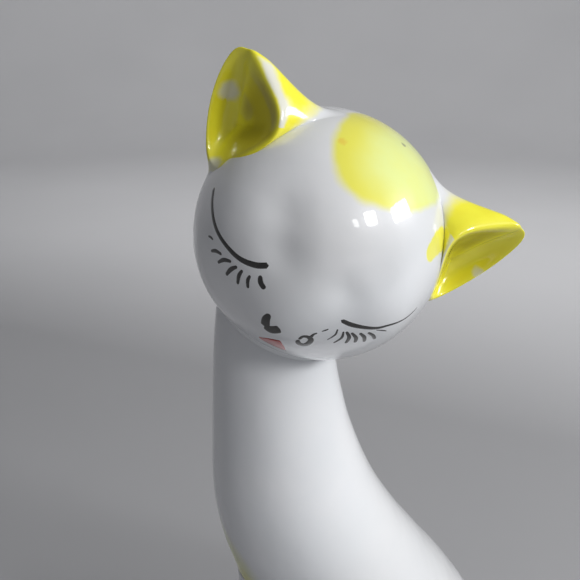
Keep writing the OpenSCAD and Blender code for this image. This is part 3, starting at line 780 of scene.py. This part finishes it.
# ---------------------------------------------------------------- pieces
def settings(context):
    """The form worked out from the scene's sizes, the sizes and the colours."""
    sizes = context.scene.cat_shape
    return Form(sizes), sizes, context.scene.cat_colours


class CAT_OT_body(bpy.types.Operator):
    """Slip-cast body with its long neck, open at the foot and under the head"""
    bl_idname = "cat.body"
    bl_label = "Body casting"

    def execute(self, context):
        form, _, c = settings(context)
        rings, bare = body_rings(form)
        place(grid_mesh("cast_body", rings, wrap=True, bare=bare), "white_glaze", body_glaze(c, form),
              bare_clay(c, "bare_foot"), nodes=["body_casting"])
        return {"FINISHED"}


class CAT_OT_base_disc(bpy.types.Operator):
    """Bare clay finish of the disc luted into the pouring hole"""
    bl_idname = "cat.base_disc"
    bl_label = "Base disc"

    def execute(self, context):
        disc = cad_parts["base_disc"]
        disc.data.materials.clear()
        disc.data.materials.append(bare_clay(context.scene.cat_colours))
        return {"FINISHED"}


class CAT_OT_slip_joint(bpy.types.Operator):
    """Bead of slip that joins the neck to the head"""
    bl_idname = "cat.slip_joint"
    bl_label = "Slip joint"

    def execute(self, context):
        form, _, c = settings(context)
        place(grid_mesh("slip_joint", slip_rings(form), wrap=True), "luting_slip", white_glaze(c),
              nodes=["neck_slip_joint"])
        return {"FINISHED"}


class CAT_OT_head(bpy.types.Operator):
    """Slip-cast head with its soft brow, cheeks and muzzle"""
    bl_idname = "cat.head"
    bl_label = "Head casting"

    def execute(self, context):
        form, _, c = settings(context)
        mesh = grid_mesh("cast_head", head_rings(form), form.head_pt(form.crown[None], -form.wall)[0],
                         form.head_pt(form.crown[None])[0])
        place(mesh, "white_glaze", head_glaze(c, form), nodes=["head_casting"])
        return {"FINISHED"}


class CAT_OT_ears(bpy.types.Operator):
    """Two cupped ears luted on to the head"""
    bl_idname = "cat.ears"
    bl_label = "Ears"

    def execute(self, context):
        form, s, c = settings(context)
        ears = {name: ear_rings(form, side, EAR_SET[name], s.ear_stretch)
                for name, side in (("left", 1), ("right", -1))}
        missed = []
        for name, u, v, size in EAR_MISSED:
            ring, place_no = 1 + round(v * (EAR_ALONG - 2)), round(u * EAR_AROUND)
            missed.append((ears[name][0][ring, place_no], size, v > 0.5))
        lemon = ear_glaze(c, missed)
        for name, (rings, sole, cup) in ears.items():
            mesh = grid_mesh(f"cupped_ear_{name}", rings, sole, cup)
            place(mesh, "yellow_glaze", lemon, nodes=[f"ear_{name}"])
        return {"FINISHED"}


class CAT_OT_legs(bpy.types.Operator):
    """Forelegs and hind paws luted on to the body"""
    bl_idname = "cat.legs"
    bl_label = "Legs and paws"

    def execute(self, context):
        form, s, c = settings(context)
        glaze = white_glaze(c)
        for kind, rows, m in (("foreleg", leg_rows(form, s), 110), ("hind_paw", hind_rows(s), 48)):
            for side in ("left", "right"):
                rings = relief_rings(form, rows, m, mirror=side == "right")
                mesh = grid_mesh(f"{kind}_{side}_glazed", rings, rings[0].mean(0), rings[-1].mean(0))
                place(mesh, "white_glaze", glaze, nodes=[f"{kind}_{side}"])
        return {"FINISHED"}


class CAT_OT_tail(bpy.types.Operator):
    """Tail that lies round the left haunch"""
    bl_idname = "cat.tail"
    bl_label = "Tail"

    def execute(self, context):
        form, s, c = settings(context)
        rings = relief_rings(form, tail_rows(s), 150)
        mesh = grid_mesh("tail_glazed", rings, rings[0].mean(0), rings[-1].mean(0))
        place(mesh, "white_glaze", white_glaze(c), nodes=["tail"])
        return {"FINISHED"}


class CAT_OT_face(bpy.types.Operator):
    """Closed eyes with lashes, nostrils and mouth, brushed on in enamel"""
    bl_idname = "cat.face"
    bl_label = "Painted face"

    def execute(self, context):
        form, _, c = settings(context)
        black = enamel(c, "black_enamel", c.ink, c.ink_thin)
        red = enamel(c, "red_enamel", c.red, c.red_thin)
        height = c.line_height / MM
        for name, strokes, slot, paint in (
                ("closed_eye_right", [EYE_LINE_RIGHT] + LASHES_RIGHT, "black_enamel", black),
                ("closed_eye_left", [EYE_LINE_LEFT] + LASHES_LEFT, "black_enamel", black),
                ("nostril_right", NOSTRIL_RIGHT, "black_enamel", black),
                ("nostril_left", NOSTRIL_LEFT, "black_enamel", black),
                ("mouth", MOUTH, "red_enamel", red)):
            meshes = [stroke_mesh(form, "stroke", path, widths, height, c.line_scale)
                      for path, widths in strokes]
            place(join_meshes(name, meshes), slot, paint)
        return {"FINISHED"}


# Lamps: name, azimuth from the chest's front to the cat's left and lift in degrees, width and height and
# distance from the head in metres, watts, and for the last the way it points, where the others face the head
LAMPS = [
    ("window_wide", (124, 20), (0.33, 0.185), 0.9, 3.4),
    ("window_mid", (91, 24.5), (0.135, 0.17), 0.9, 1.9),
    ("window_narrow", (76.5, 23), (0.08, 0.12), 0.9, 0.2),
    ("overhead", (112, 52), (1.2, 1.2), 1.6, 10.2),
    ("backdrop", (225, 58), (1.0, 0.3), 0.5, 8.5, (200, -2)),
]
DARK_SIDE = (-0.62, -0.62, -0.48)                     # the way from which least light comes
DARK_FADE = [(0.0, (0.58, 0.59, 0.62, 1)), (0.55, (0.04, 0.035, 0.03, 1))]
FLOOR_FLAT, FLOOR_BEND, FLOOR_TOP = 1.0, 0.6, 0.8     # flat radius, radius of the turn up, height in metres
CAMERA_WAY = (45, 19)                # azimuth and how far it looks down, in degrees
CAMERA_DISTANCE = 0.1575             # from the head's middle, in metres
HEAD_IN_VIEW = (0.0366, 0.0683)      # how far the head's middle lies right of and above the view's middle


def way_from_head(azimuth, lift):
    """Direction at an azimuth, 0 in front of the chest and 90 at the cat's left, and a lift, in degrees."""
    a, e = math.radians(azimuth), math.radians(lift)
    return Vector((math.sin(a) * math.cos(e), -math.cos(a) * math.cos(e), math.sin(e)))


class CAT_OT_stage(bpy.types.Operator):
    """Pale floor, soft studio light with window-shaped lamps, and the camera"""
    bl_idname = "cat.stage"
    bl_label = "Stage"

    def execute(self, context):
        form = Form(context.scene.cat_shape)
        centre = Vector(form.head_c * MM)
        self.floor()
        for lamp in LAMPS:
            self.lamp(centre, *lamp)
        context.scene.world = self.world()
        context.scene.view_settings.view_transform = "Standard"
        self.camera(context, centre)
        return {"FINISHED"}

    def world(self):
        """Soft grey light all round, dark from the cat's front right and from below."""
        world = bpy.data.worlds.new("studio")
        world.use_nodes = True
        nodes, links = world.node_tree.nodes, world.node_tree.links
        way = nodes.new("ShaderNodeTexCoord").outputs["Generated"]
        dark = nodes.new("ShaderNodeVectorMath")
        dark.operation = "DOT_PRODUCT"
        dark.inputs[1].default_value = DARK_SIDE
        links.new(way, dark.inputs[0])
        fade = nodes.new("ShaderNodeValToRGB")
        for stop, (at, tint) in zip(fade.color_ramp.elements, DARK_FADE):
            stop.position, stop.color = at, tint
        links.new(dark.outputs["Value"], fade.inputs["Fac"])
        links.new(fade.outputs["Color"], nodes["Background"].inputs["Color"])
        nodes["Background"].inputs["Strength"].default_value = 0.36
        return world

    def floor(self):
        """Disc that turns up at its rim: radius against height along a quarter circle, then straight up."""
        turn = np.radians(round_angles(96))[None]
        bend = np.radians(np.linspace(0, 90, 25))[1:]
        flat = np.linspace(0.02, FLOOR_FLAT, 12)
        r = np.concatenate([flat, FLOOR_FLAT + FLOOR_BEND * np.sin(bend), [FLOOR_FLAT + FLOOR_BEND]])
        z = np.concatenate([0 * flat, FLOOR_BEND * (1 - np.cos(bend)), [FLOOR_TOP]])
        r, z = r[:, None] / MM, z[:, None] / MM
        rings = np.stack(np.broadcast_arrays(r * np.cos(-turn), r * np.sin(-turn), z), -1)
        mesh = grid_mesh("pale_floor", rings[:, ::-1], first=(0, 0, 0))
        piece = bpy.data.objects.new("pale_floor", mesh)
        bpy.context.scene.collection.objects.link(piece)
        g = Glaze("pale_floor", roughness=0.75, specular_ior_level=0.3)
        g.wire("Base Color", g.mix(g.noise(6, 2, 0.5), (0.40, 0.40, 0.41, 1), (0.44, 0.44, 0.45, 1)))
        mesh.materials.append(g.material)

    def lamp(self, centre, name, way, size, distance, power, aim=None):
        """Rectangular lamp that way from centre, turned back to it or along aim. Only the windows show in the
        glaze."""
        back = -way_from_head(*aim) if aim else way_from_head(*way)
        data = bpy.data.lights.new(name, "AREA")
        data.shape, data.size, data.size_y, data.energy = "RECTANGLE", *size, power
        lamp = bpy.data.objects.new(name, data)
        lamp.location = centre + way_from_head(*way) * distance
        lamp.rotation_euler = back.to_track_quat("Z", "Y").to_euler()
        lamp.visible_glossy = name.startswith("window")
        bpy.context.scene.collection.objects.link(lamp)

    def camera(self, context, centre):
        """Camera at the cat's front left, looking down, close to the head."""
        ahead = -way_from_head(*CAMERA_WAY)
        right = ahead.cross(Vector((0, 0, 1))).normalized()
        up = right.cross(ahead)
        to_head = (ahead + HEAD_IN_VIEW[0] * right + HEAD_IN_VIEW[1] * up).normalized()
        data = bpy.data.cameras.new("portrait")
        data.lens, data.sensor_width, data.clip_start = 50, 36, 0.01
        camera = bpy.data.objects.new("portrait", data)
        camera.location = centre - CAMERA_DISTANCE * to_head
        camera.rotation_euler = (-ahead).to_track_quat("Z", "Y").to_euler()
        context.scene.collection.objects.link(camera)
        context.scene.camera = camera


class CAT_PT_panel(bpy.types.Panel):
    """Lists the pieces in the order in which they are built"""
    bl_idname = "CAT_PT_panel"
    bl_label = "Cat figurine"
    bl_space_type = "VIEW_3D"
    bl_region_type = "UI"
    bl_category = "Figurine"

    def draw(self, context):
        for piece in PIECES:
            self.layout.operator(piece.bl_idname)
        for group in (context.scene.cat_shape, context.scene.cat_colours):
            box = self.layout.box()
            for key in group.__annotations__:
                box.prop(group, key)


PIECES = (CAT_OT_body, CAT_OT_base_disc, CAT_OT_slip_joint, CAT_OT_head, CAT_OT_ears, CAT_OT_legs,
          CAT_OT_tail, CAT_OT_face, CAT_OT_stage)
CLASSES = (CatShape, CatColours, *PIECES, CAT_PT_panel)


def register():
    for cls in CLASSES:
        bpy.utils.register_class(cls)
    bpy.types.Scene.cat_shape = bpy.props.PointerProperty(type=CatShape)
    bpy.types.Scene.cat_colours = bpy.props.PointerProperty(type=CatColours)


def unregister():
    del bpy.types.Scene.cat_colours
    del bpy.types.Scene.cat_shape
    for cls in reversed(CLASSES):
        bpy.utils.unregister_class(cls)


def main():
    register()
    for piece in PIECES:
        group, name = piece.bl_idname.split(".")
        getattr(getattr(bpy.ops, group), name)()


if __name__ == "__main__":
    main()
